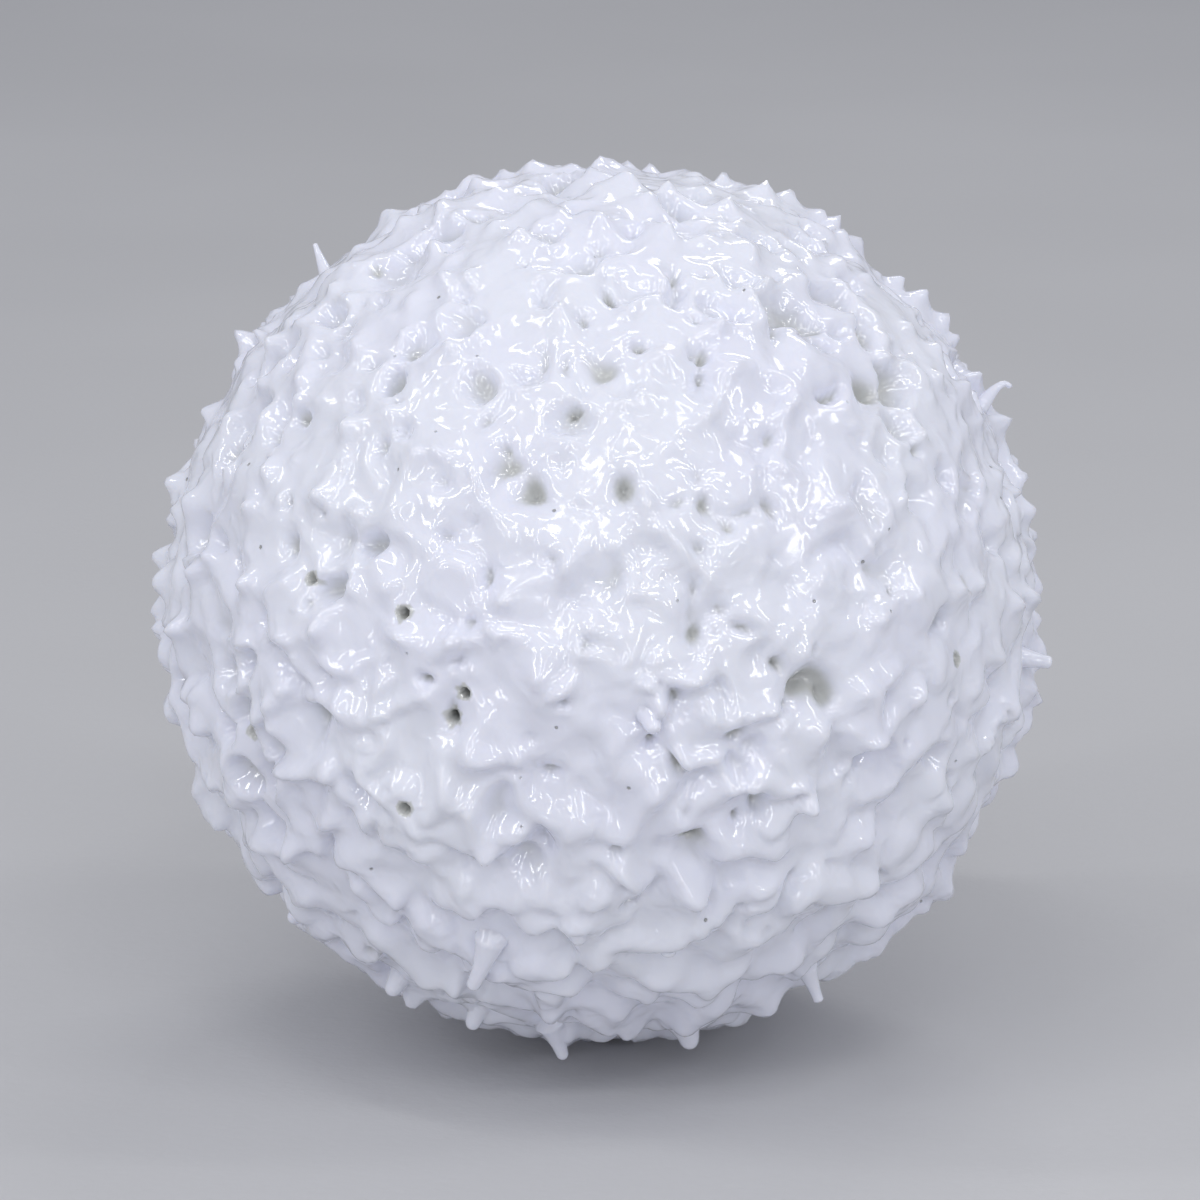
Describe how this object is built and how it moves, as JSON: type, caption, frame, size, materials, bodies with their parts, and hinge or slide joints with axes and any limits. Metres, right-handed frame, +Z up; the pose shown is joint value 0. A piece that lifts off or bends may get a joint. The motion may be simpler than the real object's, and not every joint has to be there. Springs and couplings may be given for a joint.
{
  "type": "cue ball",
  "caption": "Glossy white cue ball: a plain core ball inside a thick cast skin whose outside is rough with pulled-up tips, webs, bowls, hanging drips and pinholes.",
  "frame": {"origin": "the ball's centre", "axes": "+Z up through the ball's centre, -Y towards the side that the face's tips and bowls are placed on, +X to the right of that side"},
  "size_m": [0.0592, 0.0589, 0.0591],
  "materials": {
    "core": "satin",
    "skin": "gloss"
  },
  "bodies": {
    "root": {"core_ball": "core", "cast_skin": "skin"}
  },
  "joints": []
}
